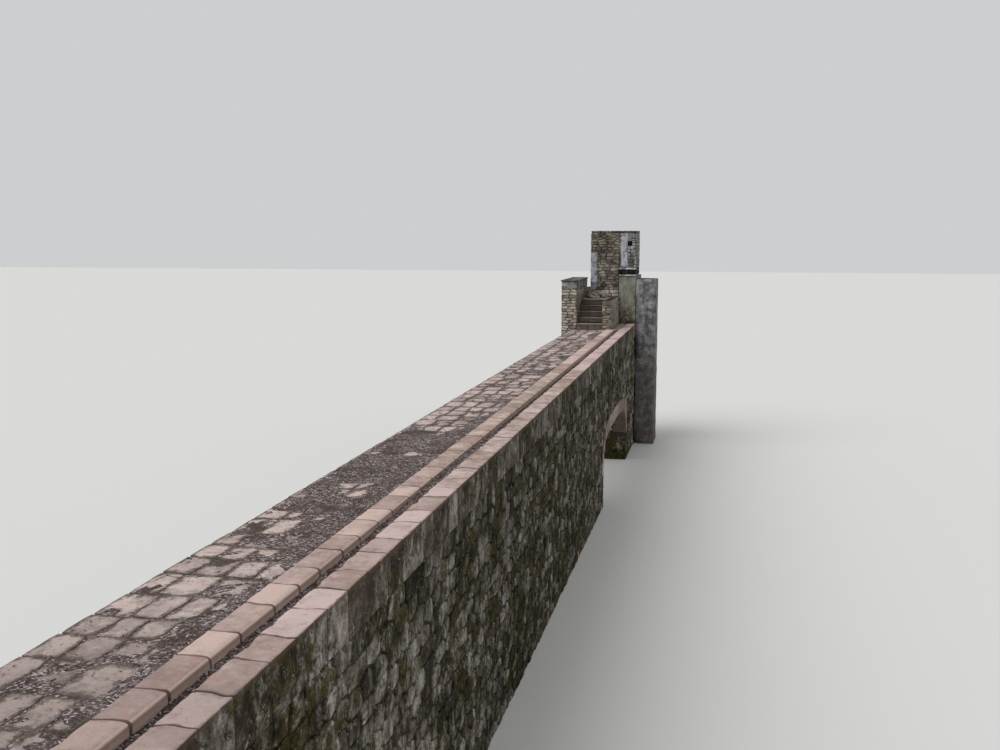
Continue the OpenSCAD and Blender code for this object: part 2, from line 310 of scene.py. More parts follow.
def pink_sandstone(name, orange, grimy_all_over=False):
    """Worn pink and buff sandstone of the coping and kerb, grimy on its outer face, and with painted light
    on the kerb's side over the gutter.
    """
    f = Finish(name)
    away = f.y - NEAR_END
    grain = f.noise(120, 5, 0.75)
    base = f.ramp(
        f.tone * 0.26 + f.noise(2.1, 6, 0.65) * 0.4 + f.noise(7.5, 6, 0.7) * 0.34,
        (0.34, 158, 136, 128), (0.45, 181, 159, 153),
        (0.56, 198 + orange * 0.3, 178 - orange * 0.1, 172 - orange),
        (0.68, 200, 177 - orange * 0.2, 170 - orange * 0.5))
    stain = f.noise(3.4, 8, 0.72).rise(0.53, 0.68)
    rosy = f.noise(4.6, 5, 0.6).rise(0.58, 0.7)
    bloom = f.noise(16, 6, 0.74).rise(0.6, 0.66)
    pits = f.noise(42, 5, 0.7).rise(0.36, 0.31)
    soil = (f.rim * 0.55 + f.noise(12, 6, 0.72) * 0.6).rise(0.72, 0.86)
    film = f.noise(3.8, 8, 0.74).rise(0.44, 0.58) * away.rise(5.9, 10.4) * away.rise(22.4, 17.4)
    base = f.layered(
        f.shaded(base, grain * 0.5 + 0.76),
        (stain * 0.55, 122, 107, 97),
        (rosy * 0.45, 188, 146, 134),
        (bloom * 0.45, 208, 203, 194),
        (pits * 0.75, 74, 63, 56),
        (soil * 0.5, 98, 85, 76),
        (film * 0.5, f.shaded(paint(116, 108, 84), grain * 1.6 + 0.2)),
        # Darker over the first metres from the near end: dirt, with painted shade.
        (away.rise(2.7, 1.6) * 0.36, f.shaded(paint(120, 102, 95), grain * 0.8 + 0.6)))
    # Painted light: the kerb's side over the gutter is lightened to a pale buff, standing in for the light
    # that the gutter's shade takes from it.
    if orange:
        inner = f.facing_x.rise(0.3, 0.8)
        base = f.blend(inner * 0.8, base, f.shaded(paint(218, 192, 178), grain * 0.8 + 0.66))
    standing = f.facing_z.rise(0.75, 0.35)
    backward = f.facing_y.rise(-0.35, -0.8)
    outside = 0.6 if grimy_all_over else (
        standing * f.facing_x.rise(0.3, 0.75) * (0.25 if orange else 1.0)
        + backward * away.rise(0.05, 0.03) * 0.8)
    lime = f.noise((9, 9, 0.8), 6, 0.66, 0.4).rise(0.53, 0.62) * (f.y - STEPS).rise(0.1, 0.5)
    arris = standing * f.facing_x.rise(0.2, 0.5) * (CREST - f.z).rise(0.075, 0.03)
    gap = backward * away.rise(0.03, 0.05)
    colour = f.layered(
        base,
        (outside, weathered_face(f, base, -0.015)),
        (lime * outside * 0.6, 186, 182, 172),
        (arris * 0.6, 92, 76, 66),
        (gap * 0.65, 66, 55, 48))
    height = grain * 0.3 + f.noise(26, 7, 0.72) * 0.7 - pits * 0.5
    return f.done(colour, 0.84 + grain * 0.12, height, 0.014, 0.6)


def deck_sandstone():
    """Grey-pink slabs, soiled towards their edges and finely cracked, and greyer on the steps, with painted
    shade on the steps and landing and darker still on faces turned to the near end.
    """
    f = Finish("deck_sandstone")
    grain = f.noise(100, 5, 0.75)
    base = f.ramp(
        f.tone * 0.22 + f.noise(2.7, 7, 0.68) * 0.78,
        (0.34, 154, 139, 132), (0.46, 178, 162, 156), (0.56, 198, 181, 175), (0.68, 192, 171, 160))
    bloom = f.noise(3.3, 7, 0.7).rise(0.56, 0.66)
    film = f.noise(4.4, 8, 0.75).rise(0.47, 0.64)
    dirt = (f.rim * 0.3 + f.noise(7, 8, 0.76)).rise(0.6, 0.78)
    cracks = f.jostled_cells(1.9, "DISTANCE_TO_EDGE", "Distance", 6, 0.16).rise(0.016, 0.006)
    cracks *= f.noise(1.4).rise(0.53, 0.58)
    specks = f.noise(34, 7, 0.8).rise(0.565, 0.6) * f.noise(2.2, 6, 0.7).rise(0.42, 0.58)
    pits = f.noise(22, 6, 0.7).rise(0.39, 0.33)
    past_deck = f.y - STEPS
    # Painted shade: past the deck the stone is greyer and also darker, for the shade on the steps and
    # landing; faces turned to the near end, the risers above all, are painted darker still as shaded faces.
    tread = f.shaded(paint(118, 112, 102), grain * 0.8 + f.noise(4, 7, 0.72) - 0.05)
    riser = f.shaded(paint(92, 86, 76), grain * 1.2 + f.noise(5, 6, 0.7) * 1.4 - 0.35)
    beside = f.x + f.noise(9, 4) * 0.02 - STEP_JOINT - 0.01
    joint = beside.rise(-0.009, -0.004) * beside.rise(0.009, 0.004) * past_deck.rise(-0.02, 0.0)
    joint *= (JOINTED_TO - f.z).rise(-0.02, -0.005)
    colour = f.layered(
        f.shaded(base, grain * 0.7 + 0.7),
        (bloom * 0.45, 120, 118, 96),
        (film * 0.45, 112, 99, 91),
        # Darker over the first metres from the near end: dirt, with painted shade.
        ((f.y - NEAR_END).rise(3.6, 1.4) * 0.46, 98, 88, 82),
        (dirt * 0.85, 86, 75, 68),
        (cracks * 0.85, 52, 44, 40),
        (specks * 0.7, 88, 74, 66),
        (pits * 0.8, 64, 55, 49),
        (past_deck.rise(-0.02, 0.02) * 0.55, tread),
        (f.facing_y.rise(-0.4, -0.85) * 0.88, riser),
        (joint * 0.85, 36, 31, 26))
    height = grain * 0.25 + f.noise(15, 8, 0.74) * 0.75 - pits * 0.5 - cracks * 0.8 - joint
    return f.done(colour, 0.88 + grain * 0.1, height, 0.02, 0.7)


RUBBLE_COLOURS = ((0.25, 92, 85, 75), (0.45, 122, 114, 102), (0.6, 146, 137, 124), (0.78, 138, 123, 109))
PLASTERED_FROM = 0.34


def rubble_stone(name, light, crusted, mossy=0.0, plastered=False):
    """Rough grey-brown rubble with grime, damp and moss, and remains of plaster on the tower."""
    f = Finish(name)
    grain = f.noise(60, 7, 0.76)
    stops = [(position, *(value + light for value in colour)) for position, *colour in RUBBLE_COLOURS]
    base = f.ramp(f.tone * 0.6 + f.noise(7, 6, 0.68) * 0.4, *stops)
    base = f.shaded(base, grain * 0.8 + 0.6)
    if crusted:
        colour = weathered_face(f, base, mossy, crusted)
    else:
        damp = streaks(f) * 0.5 + f.noise(2.2, 5).rise(0.5, 0.7) * 0.3
        colour = f.blend(damp, base, paint(70, 66, 56))
    if plastered:
        right_part = (f.x - PLASTERED_FROM).rise(0.0, 0.12)
        remains = f.noise((9, 9, 1.3), 7, 0.7).rise(0.44, 0.56) * right_part
        plaster = f.shaded(paint(174, 173, 178), grain * 1.6 + f.noise(5, 6, 0.7) * 1.4 - 0.6)
        colour = f.blend(remains * 0.8, colour, plaster)
    colour = f.blend(f.rim.rise(0.35, 1.05) * 0.45, colour, paint(38, 35, 28))
    return f.done(colour, 0.88 + grain * 0.1, grain * 0.4 + f.noise(13, 7, 0.74) * 0.6, 0.035, 0.8)


def wall_render():
    """Old lime render and mortar, grey, streaked and mossy."""
    f = Finish("wall_render")
    base = f.ramp(f.noise(2.4, 7, 0.68), (0.36, 92, 88, 78), (0.5, 124, 119, 109), (0.64, 152, 147, 138))
    grain = f.noise(70, 7, 0.78)
    colour = weathered_face(f, f.shaded(base, grain * 0.8 + 0.6))
    return f.done(colour, 0.9 + grain * 0.08, grain * 0.45 + f.noise(11, 8, 0.74) * 0.55, 0.025, 0.8)


def pale_plaster():
    """Mottled blue-grey plaster with dark runs, greenish on the gate block."""
    f = Finish("pale_plaster")
    grain = f.noise(70, 7, 0.75)
    over_crest = f.z - CREST
    behind_face = FACE - f.x
    base = f.ramp(
        f.noise(2.4, 8, 0.7) * 0.55 + f.tone * 0.45,
        (0.28, 88, 86, 78), (0.46, 122, 121, 116), (0.6, 148, 150, 156), (0.76, 196, 198, 210))
    runs = f.noise((8, 8, 1.2), 7, 0.7, 0.3).rise(0.5, 0.64) * (0.88 - f.tone * 0.5)
    mottle = f.noise(4.2, 8, 0.72)
    chips = f.noise(7, 9, 0.76).rise(0.56, 0.6)
    foot = f.z.rise(0.9 * CREST, 0.45 * CREST)
    set_back = behind_face.rise(0.0, 0.02)
    greenish = set_back * over_crest.rise(1.75, 1.6) * (BLOCK_SIDE - f.x).rise(0.04, 0.02)
    inward = (behind_face + 0.1).rise(0.1, 0.5)
    bare = f.noise(2.6, 7, 0.7) + over_crest.rise(0.95, 0.2) * inward * 0.16
    on_block = set_back * over_crest.rise(1.3, 1.0) * over_crest.rise(0.0, 0.05)
    core = f.ramp(f.noise(9, 6, 0.7), (0.4, 60, 54, 36), (0.52, 118, 108, 84), (0.62, 152, 142, 120))
    colour = f.layered(
        f.shaded(base, grain * 0.6 + 0.7),
        (runs, 64, 60, 58),
        (mottle.rise(0.49, 0.57) * 0.64, 64, 58, 60),
        (mottle.rise(0.46, 0.39) * 0.6, 172, 172, 178),
        (chips * 0.6, 94, 86, 74),
        (foot * 0.55, f.shaded(paint(92, 82, 77), grain * 0.9 + 0.55)),
        (greenish * 0.45, 136, 137, 112),
        (bare.rise(0.57, 0.6) * on_block * 0.8, core))
    height = grain * 0.4 + f.noise(14, 7, 0.7) * 0.6 - chips * 0.7
    return f.done(colour, 0.86 + grain * 0.1, height, 0.016, 0.8)


def leaf_soil():
    """Dark crumbly soil with flecks of rotted leaf, in the joints and the gutter."""
    f = Finish("leaf_soil")
    crumbs = f.noise(50, 9, 0.8)
    fleck = f.add("ShaderNodeSeparateColor", {}, {0: f.jostled_cells(48, "F1", "Color", 40, 0.03)})
    leaves = f.ramp(
        fleck, (0.0, 54, 44, 42), (0.45, 98, 84, 80), (0.75, 140, 126, 124), (0.97, 206, 198, 200))
    colour = f.layered(
        f.ramp(crumbs, (0.38, 44, 37, 35), (0.5, 84, 73, 68), (0.62, 122, 108, 103)),
        (f.noise(2.6, 6, 0.7).rise(0.4, 0.52) * 0.8, leaves),
        (f.noise(3.3, 7, 0.68).rise(0.57, 0.66) * 0.5, 78, 82, 46))
    return f.done(colour, 0.95 + crumbs * 0.04, crumbs * 0.6 + fleck * 0.4, 0.02, 0.9)


def leaf_litter():
    """Dead leaves and twigs, from purple-brown to bleached."""
    f = Finish("leaf_litter")
    base = f.ramp(
        f.tone, (0.0, 58, 46, 42), (0.36, 98, 82, 76), (0.62, 146, 131, 126), (0.9, 206, 198, 198))
    grain = f.noise(160, 4, 0.7)
    return f.done(f.shaded(base, grain * 0.6 + 0.7), 0.8 + grain * 0.15, grain, 0.003, 0.5)


# Shapes: stones are points and faces, gathered in a heap and joined into one mesh

UP = np.array([0, 0, 1.0])
HASH = np.array([73856093, 19349663, 83492791])
SCRAMBLE = 1274126177


def lumps(points, size, seed):
    """Smooth noise from -1 to 1 at each point, with lumps of about the given size."""
    spot = np.asarray(points, float) / size + seed * 17.31
    cell = np.floor(spot).astype(np.int64)
    part = spot - cell
    part = part * part * (3 - 2 * part)
    total = np.zeros(len(spot))
    for corner in itertools.product((0, 1), repeat=3):
        key = (cell + corner) @ HASH
        key = (key ^ (key >> 13)) * SCRAMBLE & 0xFFFFFFFF
        value = ((key ^ (key >> 16)) & 0xFFFF) / 0x7FFF - 1
        total += value * np.prod(np.where(corner, part, 1 - part), axis=1)
    return total


class Heap:
    """Gathers stones, each with a tone and with a rim value that is 1 at its edges."""

    def __init__(self):
        self.rows = []
        self.faces = []
        self.count = 0

    def add(self, points, faces, tone, rim=0.0):
        self.rows.append(np.column_stack([points, *(np.broadcast_to(v, len(points)) for v in (tone, rim))]))
        self.faces.extend((np.asarray(f) + self.count).tolist() for f in faces)
        self.count += len(points)

    def piece(self, name, finish, replaces=(), sharp=50):
        mesh = bpy.data.meshes.new(name)
        rows = np.concatenate(self.rows)
        inside_box = np.clip(rows[:, :3], *np.array(construction_box))
        mesh.from_pydata(inside_box.tolist(), [], self.faces)
        note(mesh, "tone", rows[:, 3])
        note(mesh, "rim", rows[:, 4])
        settle(name, mesh, finish, replaces, sharp)


def note(mesh, key, values):
    """Writes a value for each vertex, which the finishes read."""
    mesh.attributes.new(key, "FLOAT", "POINT").data.foreach_set("value", values.astype(np.float32))


def settle(name, mesh, finish, replaces, sharp=50):
    """Makes a mesh a piece of the model with its finish, hung from the root, and hides the construction
    pieces that it replaces.
    """
    piece = linked(name, mesh)
    mesh.materials.append(FINISHES[finish])
    piece.select_set(True)
    bpy.context.view_layer.objects.active = piece
    bpy.ops.object.shade_smooth_by_angle(angle=math.radians(sharp))
    piece.select_set(False)
    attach(piece, "root")
    slot_of[replaces[0]] if replaces else "rubble"
    if replaces:
        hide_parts(*replaces)


def joined(count, faces):
    """A number for each of some points, the same for all that edges or faces join."""
    group = np.arange(count)
    while True:
        lowest = group[faces].min(axis=1)
        before = group.copy()
        for side in range(faces.shape[1]):
            np.minimum.at(group, faces[:, side], lowest)
        if (group == before).all():
            return np.unique(group, return_inverse=True)[1]


def solids(node):
    """The lowest and highest corner of each separate solid of a construction piece."""
    mesh = frame["nodes"][node].data
    points = np.array([v.co for v in mesh.vertices])
    corners, index = np.unique(points.round(5), axis=0, return_inverse=True)
    number = joined(len(corners), index.ravel()[np.array([list(p.vertices) for p in mesh.polygons])])
    for k in range(number.max() + 1):
        solid = corners[number == k]
        yield solid.min(axis=0), solid.max(axis=0)


def box_grid(*size):
    """Surface of a box as a grid: whole-number places on it, and its outward quads."""
    places = {}
    quads = []
    for axis in range(3):
        u, v = (axis + 1) % 3, (axis + 2) % 3
        for end in (0, size[axis]):
            for i, j in itertools.product(range(size[u]), range(size[v])):
                quad = []
                for du, dv in ((0, 0), (1, 0), (1, 1), (0, 1)):
                    place = [0, 0, 0]
                    place[axis], place[u], place[v] = end, i + du, j + dv
                    quad.append(places.setdefault(tuple(place), len(places)))
                quads.append(quad if end else quad[::-1])
    return np.array(list(places)), quads


def spread(places, length, arris):
    """Places along one side of a stone, close together near its arrises."""
    ends = np.array([0, 0.35 * arris, arris])
    middle = np.linspace(arris, length - arris, places.max() - 3)[1:-1]
    stops = np.concatenate([ends, middle, length - ends[::-1]])
    return stops[places]


def worn_block(low, high, grid, arris, seed, chip=0.007, wave=0.003):
    """A dressed stone between two corners, with rounded, chipped arrises and an uneven surface."""
    length = high - low
    local = np.stack([spread(grid[:, k], length[k], arris) for k in range(3)], axis=1)
    inside = np.clip(local, arris, length - arris)
    out = local - inside
    reach = np.linalg.norm(out, axis=1, keepdims=True)
    direction = out / np.maximum(reach, 1e-9)
    edge = (np.abs(direction) > 0.25).sum(axis=1) > 1
    points = low + inside + direction * arris
    knocks = np.maximum(0, lumps(points, 0.06, seed) - 0.15) * chip * 2
    uneven = lumps(points, 0.16, seed + 5) * wave + lumps(points, 0.05, seed + 9) * wave * 0.4
    points += direction * (uneven - np.where(edge, knocks, 0))[:, None]
    gap = np.minimum(local, length - local)[:, :2].min(axis=1)
    rim = np.clip(1 - gap / 0.07, 0, 1)
    return points, rim


def drift_joints(points, size):
    """The waver of the joints along the wall, the same for both stones at a joint."""
    points[:, 1] += lumps(points * [3.6, 1.0, 0.4], 0.5, 31) * size


def ease_ends(points, low, high, amount):
    """Wears back a stone's two ends at their corners, by an amount for each point."""
    from_end = np.minimum(points[:, 1] - low[1], high[1] - points[:, 1])
    inward = np.sign((low[1] + high[1]) / 2 - points[:, 1])
    points[:, 1] += inward * amount * np.clip(1 - from_end / 0.07, 0, 1)


# Crest: coping and kerb on both sides of the gutter, and the slabs of the deck
KERB_ROUND = 0.06


def coping_stone(i, low, high, grid):
    """One block of the coping, flush with the wall and ragged over the gutter."""
    seed = i + low[1]
    sink = uniform(0, 0.006)
    points, rim = worn_block(low, high - [0, 0, sink], grid, 0.014, seed)
    x, _, z = points.T
    inner = np.clip((COPING + 0.1 - x) / 0.1, 0, 1)
    x += inner * np.maximum(0, lumps(points * [0, 1, 0.3], 0.11, 3) + 0.3 * lumps(points, 0.04, 8)) * 0.04
    z -= inner ** 3 * (z > high[2] - 0.05) * (0.016 + 0.01 * lumps(points, 0.1, 12))
    ease_ends(points, low, high, inner ** 2 * 0.03)
    drift_joints(points, 0.06)
    return points, rim


def kerb_stone(i, low, high, grid):
    """One stone of the kerb, with its edge over the gutter worn round."""
    seed = i + low[1] + 40
    wear = chance.choice([0.002, 0.006, 0.012, 0.02])
    points, rim = worn_block(low, high - [0, 0, uniform(0, 0.006)], grid, 0.016, seed, 0.006)
    centre = high - KERB_ROUND
    out = np.maximum(points[:, [0, 2]] - centre[[0, 2]], 0)
    reach = np.linalg.norm(out, axis=1)
    over = (out > 0).all(axis=1) & (reach > KERB_ROUND)
    points[np.ix_(over, [0, 2])] = centre[[0, 2]] + out[over] * (KERB_ROUND / reach[over])[:, None]
    by_gutter = np.clip((points[:, 0] - high[0] + 0.13) / 0.13, 0, 1)
    by_top = np.clip((points[:, 2] - high[2] + 0.2) / 0.2, 0, 1)
    ease_ends(points, low, high, by_gutter * by_top * wear)
    drift_joints(points, 0.018)
    return points, rim * 0.6


def deck_slab(i, low, high, grid):
    """One worn slab of the deck, of uneven outline and a little out of level."""
    seed = i + low[1] * 3 + 90
    low = low + [uniform(0, 0.006) for k in range(3)]
    high = high - [uniform(0, 0.008), uniform(0, 0.008), uniform(0, 0.009)]
    points, rim = worn_block(low, high, grid, 0.006, seed, 0.016, 0.004)
    middle = (low + high) / 2
    plan = points[:, :2] - middle[:2]
    corner = np.prod(np.abs(plan) / ((high - low)[:2] / 2), axis=1)
    cut = uniform(0.01, 0.07)
    points[:, :2] = middle[:2] + plan * (1 - cut * np.clip(corner - 0.55, 0, 1) / 0.45)[:, None]
    points[:, 2] += plan @ [uniform(-0.014, 0.014), uniform(-0.012, 0.012)]
    drift = lumps(points * [1, 1, 0], 0.34, 21) * 0.028
    points[:, 0] += drift * (points[:, 0] > LEFT_FACE + 0.05)
    points[:, 1] += lumps(points * [1, 1, 0], 0.3, 22) * 0.034
    return points, rim


def crest_stones(name, node, finish, shape, steps, finer=0):
    """A piece of the crest: one worn stone for each solid of a construction piece."""
    grid, quads = box_grid(*(count + finer for count in steps))
    heap = Heap()
    for i, (low, high) in enumerate(solids(node)):
        points, rim = shape(i, low, high, grid)
        heap.add(points, quads, chance.random(), rim)
    heap.piece(name, finish, [node])


# Soil and litter over the slabs and in the gutter
DEEPEST_SOIL = NEAR_END + 9.6


def drifts(x, y, *layers):
    """Smooth noise over the plan, from layers of a size, a seed and an amount."""
    spots = np.stack([x, y, np.zeros_like(x)], axis=1)
    return sum(lumps(spots, size, seed) * amount for size, seed, amount in layers)


def deep_stretch(y):
    """1 where soil lies deepest on the crest, and less to both sides."""
    return np.exp(-((y - DEEPEST_SOIL) / 3.4) ** 2)


def soil_depth(x, y):
    """How much soil and litter lies at a place on the deck, 0 to 1."""
    drift = drifts(x, y, (0.9, 50, 0.6), (0.35, 51, 0.35), (0.12, 52, 0.15))
    by_kerb = np.clip(1 - (DECK_SIDE - x) / 0.42, 0, 1)
    first = np.clip(1 - (y - NEAR_END) / 3.4, 0, 1)
    return np.clip(drift * 0.85 + by_kerb * 0.75 + deep_stretch(y) * 0.9 + first * 0.36 - 0.4, 0, 1)


def deck_soil_height(x, y):
    edge = np.clip((x - LEFT_FACE) / 0.06, 0, 1)
    crumble = drifts(x, y, (0.06, 60, 0.004), (0.2, 61, 0.004))
    return deck_high.z - 0.008 + soil_depth(x, y) * 0.03 * edge + crumble - (1 - edge) * 0.03


def gutter_soil_height(x, y):
    drift = drifts(x, y, (0.5, 70, 0.012), (0.12, 71, 0.01), (0.04, 72, 0.006))
    banked = 0.02 * ((x - (KERB_SIDE + COPING) / 2) / (COPING - KERB_SIDE) * 2) ** 2
    return gutter_high.z + 0.012 + np.maximum(drift, -0.008) + deep_stretch(y) * 0.06 + banked


def lay_soil(name, xs, step, height):
    """A sheet of soil over the length of the crest, in rows of the given step."""
    ys = np.arange(NEAR_END + 0.01, STEPS, step)
    across, along = np.meshgrid(xs, ys, indexing="ij")
    x, y = across.ravel(), along.ravel()
    row = len(ys)
    start = (np.arange(len(xs) - 1)[:, None] * row + np.arange(row - 1)).ravel()
    quads = np.stack([start, start + row, start + row + 1, start + 1], axis=1)
    heap = Heap()
    heap.add(np.stack([x, y, height(x, y)], axis=1), quads, 0.5)
    heap.piece(name, "soil", sharp=80)


def lay_litter(name, count, spots, height):
    """Dead leaves and bits of twig, each a small folded blade that lies on the soil."""
    dice = np.random.default_rng(count)
    x, y = spots(dice, count)
    size = dice.uniform(0.008, 0.024, len(x))
    narrow = dice.uniform(0.12, 0.42, len(x)) * size
    turn = dice.uniform(0, 2 * math.pi, len(x))
    ahead = np.stack([np.cos(turn), np.sin(turn), dice.uniform(-0.35, 0.35, len(x))], axis=1)
    aside = np.stack([-np.sin(turn), np.cos(turn), dice.uniform(-0.3, 0.3, len(x))], axis=1)
    middle = np.stack([x, y, height(x, y) + dice.uniform(0.004, 0.014, len(x))], axis=1)
    fold = dice.uniform(0.0, 0.5, len(x)) * narrow
    ahead, aside, lift = ahead * size[:, None], aside * narrow[:, None], UP * fold[:, None]
    blade = np.stack([middle - ahead, middle + ahead, middle + aside + lift, middle - aside + lift], axis=1)
    start = np.arange(len(x))[:, None] * 4
    faces = np.concatenate([start + [0, 1, 2], start + [0, 3, 1]])
    heap = Heap()
    heap.add(blade.reshape(-1, 3), faces, np.repeat(dice.beta(1.6, 2.2, len(x)), 4))
    heap.piece(name, "litter", sharp=20)


def litter_on_deck(dice, count):
    x = dice.uniform(LEFT_FACE + 0.03, DECK_SIDE, count)
    y = dice.uniform(NEAR_END + 0.05, STEPS - 0.05, count)
    kept = dice.random(count) < soil_depth(x, y) ** 1.4 * 1.3 + 0.08
    return x[kept], y[kept]


def litter_in_gutter(dice, count):
    return dice.uniform(KERB_SIDE, COPING + 0.03, count), dice.uniform(NEAR_END + 0.05, STEPS - 0.05, count)


# Rubble: stones of uneven outline, laid in rough courses and bedded in mortar
BEDDED = -0.036
PROUDEST = 0.004


def clipped(outline, point, normal):
    """The part of a convex outline that lies behind the line through a point."""
    kept = []
    ahead = [(p[0] - point[0]) * normal[0] + (p[1] - point[1]) * normal[1] for p in outline]
    for i, p in enumerate(outline):
        j = (i + 1) % len(outline)
        q = outline[j]
        if ahead[i] <= 0:
            kept.append(p)
        if (ahead[i] < 0) != (ahead[j] < 0) and ahead[i] != ahead[j]:
            t = ahead[i] / (ahead[i] - ahead[j])
            kept.append((p[0] + (q[0] - p[0]) * t, p[1] + (q[1] - p[1]) * t))
    return kept


def rubble_outlines(width, height, stone_w, stone_h, joint, dice):
    """Outlines of stones in a rectangle, as cells round uneven courses of seeds."""
    rows = []
    v = 0.0
    while v < height:
        course = stone_h * dice.uniform(0.7, 1.35)
        course = height - v if height - v - course < stone_h * 0.5 else course
        row = []
        u = dice.uniform(-0.6, 0) * stone_w
        while u < width:
            long = stone_w * dice.uniform(0.55, 1.5)
            row.append((u + long / 2, v + course * dice.uniform(0.32, 0.68)))
            u += long
        rows.append([s for s in row if 0 < s[0] < width])
        v += course
    squash = (stone_w / stone_h) ** 2 * 0.8
    for r, row in enumerate(rows):
        near = [s for k in range(max(0, r - 2), min(len(rows), r + 3)) for s in rows[k]]
        for seed in row:
            outline = [(0, 0), (width, 0), (width, height), (0, height)]
            for other in near:
                du, dv = other[0] - seed[0], other[1] - seed[1]
                if other == seed or abs(du) > 2.6 * stone_w:
                    continue
                normal = (du, dv * squash)
                back = joint / 2 / math.hypot(*normal)
                point = (seed[0] + du / 2 - normal[0] * back, seed[1] + dv / 2 - normal[1] * back)
                outline = clipped(outline, point, normal)
                if len(outline) < 3:
                    break
            if len(outline) >= 3:
                yield outline


def rubble_stones(place, width, height, stone_w, stone_h, seed, joint=0.02, relief=1.0, trim=None):
    """Rubble over a plan of the given width and height, carried to its surface by place.

    Gives the middle of each stone on the plan, and what a heap takes for it. A trim moves the points
    of an outline out of an opening, and gives nothing for a stone that lies in it.
    """
    dice = random.Random(seed)
    for outline in rubble_outlines(width, height, stone_w, stone_h, joint, dice):
        corners = np.array(outline)
        sides = np.roll(corners, -1, axis=0) - corners
        cut = dice.uniform(0.1, 0.22)
        ring = np.stack([corners + sides * cut, corners + sides - sides * cut], axis=1).reshape(-1, 2)
        rough = np.array([[dice.uniform(-1, 1), dice.uniform(-1, 1)] for p in ring])
        ring = np.clip(ring + rough * 0.06 * np.ptp(ring, axis=0).min(), 0, [width, height])
        if trim:
            ring = trim(ring)
        if ring is None:
            continue
        smallest = np.ptp(ring, axis=0).min()
        if smallest < 0.03:
            continue
        middle = ring.mean(axis=0)
        inner = middle + (ring - middle) * (1 - min(0.02, smallest * 0.16) / smallest)
        tilt = np.array([dice.uniform(-0.03, 0.03), dice.uniform(-0.04, 0.04)])
        face = dice.uniform(-0.008, 0.0) * relief
        count = len(ring)
        plan = np.concatenate([ring, ring, inner, [middle]])
        depth = np.concatenate([
            np.full(count, BEDDED), np.full(count, face - 0.012 * relief),
            face + (inner - middle) @ tilt * relief, [face + dice.uniform(0, 0.008) * relief]])
        points = place(plan, np.minimum(depth, PROUDEST))
        faces = []
        for i in range(count):
            j = (i + 1) % count
            faces += [[i, j, count + j, count + i],
                      [count + i, count + j, 2 * count + j, 2 * count + i],
                      [2 * count + i, 2 * count + j, 3 * count]]
        rim = np.concatenate([np.ones(2 * count), np.full(count, 0.5), [0]])
        yield middle, (points, faces, dice.random(), rim)


def face_stones(face, *laying):
    """Rubble over an upright face, from place to place on the ground plan and from foot to head."""
    x, y, end_x, end_y, foot, head = face
    width = math.hypot(end_x - x, end_y - y)
    along = np.array([end_x - x, end_y - y, 0]) / width
    out = np.cross(along, UP)

    def place(plan, depth):
        return [x, y, foot] + plan[:, :1] * along + plan[:, 1:] * UP + depth[:, None] * out
    return rubble_stones(place, width, head - foot, *laying)


def rubble_faces(name, finish, stone_w, stone_h, joint, relief, *faces):
    """One piece of rubble over several upright faces; its seeds start from the length of its name."""
    heap = Heap()
    for seed, face in enumerate(faces, len(name) * 10):
        for _, stone in face_stones(face, stone_w, stone_h, seed, joint, relief):
            heap.add(*stone)
    heap.piece(name, finish, sharp=28)


def recessed(name, node, *planes, depth=0.02):
    """A wall's mortar body: its construction piece with the stone-faced sides set back."""
    mesh = frame["nodes"][node].data.copy()
    mesh.name = name
    mesh.materials.clear()
    for vertex in mesh.vertices:
        for axis, value, side in planes:
            if abs(vertex.co[axis] - value) < 1e-4:
                vertex.co[axis] -= side * depth
    settle(name, mesh, "render", [node])


def edit(*runs):
    """Runs edit-mode operators, given with their settings, on all of the active piece."""
    bpy.ops.object.mode_set(mode="EDIT")
    for run, settings in runs:
        bpy.ops.mesh.select_all(action="SELECT")
        run(**settings)
    bpy.ops.object.mode_set(mode="OBJECT")


def dressed(name, nodes, finish, arris, cell, wear, chips, *tones):
    """Copies of construction pieces as one worn piece; each stone's tone is from the next range of tones."""
    for node in nodes:
        mesh = frame["nodes"][node].data.copy()
        mesh.materials.clear()
        piece = linked(name, mesh)
        piece.select_set(True)
        if node == nodes[0]:
            bpy.context.view_layer.objects.active = piece
    if len(nodes) > 1:
        bpy.ops.object.join()
    piece = bpy.context.view_layer.objects.active
    mesh = piece.data
    mesh.name = name
    merge = (bpy.ops.mesh.remove_doubles, {"threshold": 1e-5})
    edit(merge, (bpy.ops.mesh.dissolve_limited, {"angle_limit": math.radians(1)}))
    bevel = piece.modifiers.new("arris", "BEVEL")
    bevel.width = arris
    bevel.segments = 2
    bevel.limit_method = "ANGLE"
    bevel.angle_limit = math.radians(35)
    bpy.ops.object.modifier_apply(modifier="arris")
    corners = np.array([v.co for v in mesh.vertices])
    low, high = corners.min(axis=0), corners.max(axis=0)
    edit(*((bpy.ops.mesh.bisect, {"plane_co": low + across * k * cell, "plane_no": across})
           for across in np.eye(3) for k in range(1, round((high - low) @ across / cell))))
    points = np.array([v.co for v in mesh.vertices])
    facing = np.array([v.normal for v in mesh.vertices])
    number = joined(len(points), np.array([e.vertices[:] for e in mesh.edges]))
    corner = np.abs(facing).max(axis=1) < 0.97
    depth = (0.5 + 0.5 * lumps(points, 0.22, len(name))) * wear + np.abs(lumps(points, 0.07, 3)) * wear * 0.5
    depth += corner * np.maximum(0, lumps(points, 0.09, 7) - 0.1) * chips * 2
    mesh.vertices.foreach_set("co", (points - facing * depth[:, None]).ravel())
    tones = itertools.cycle(tones or [(0.0, 1.0)])
    note(mesh, "tone", np.array([uniform(*next(tones)) for k in range(number.max() + 1)])[number])
    note(mesh, "rim", corner * 0.6)
    mesh.update()
    bpy.data.objects.remove(piece)
    settle(name, mesh, finish, nodes, 40)


# The arch's curve, as in the construction: haunch circles and a wide crown circle
HAUNCH = 0.95
CROWN_RISE = 0.11
RING = 0.38
CLEARANCE = 0.01


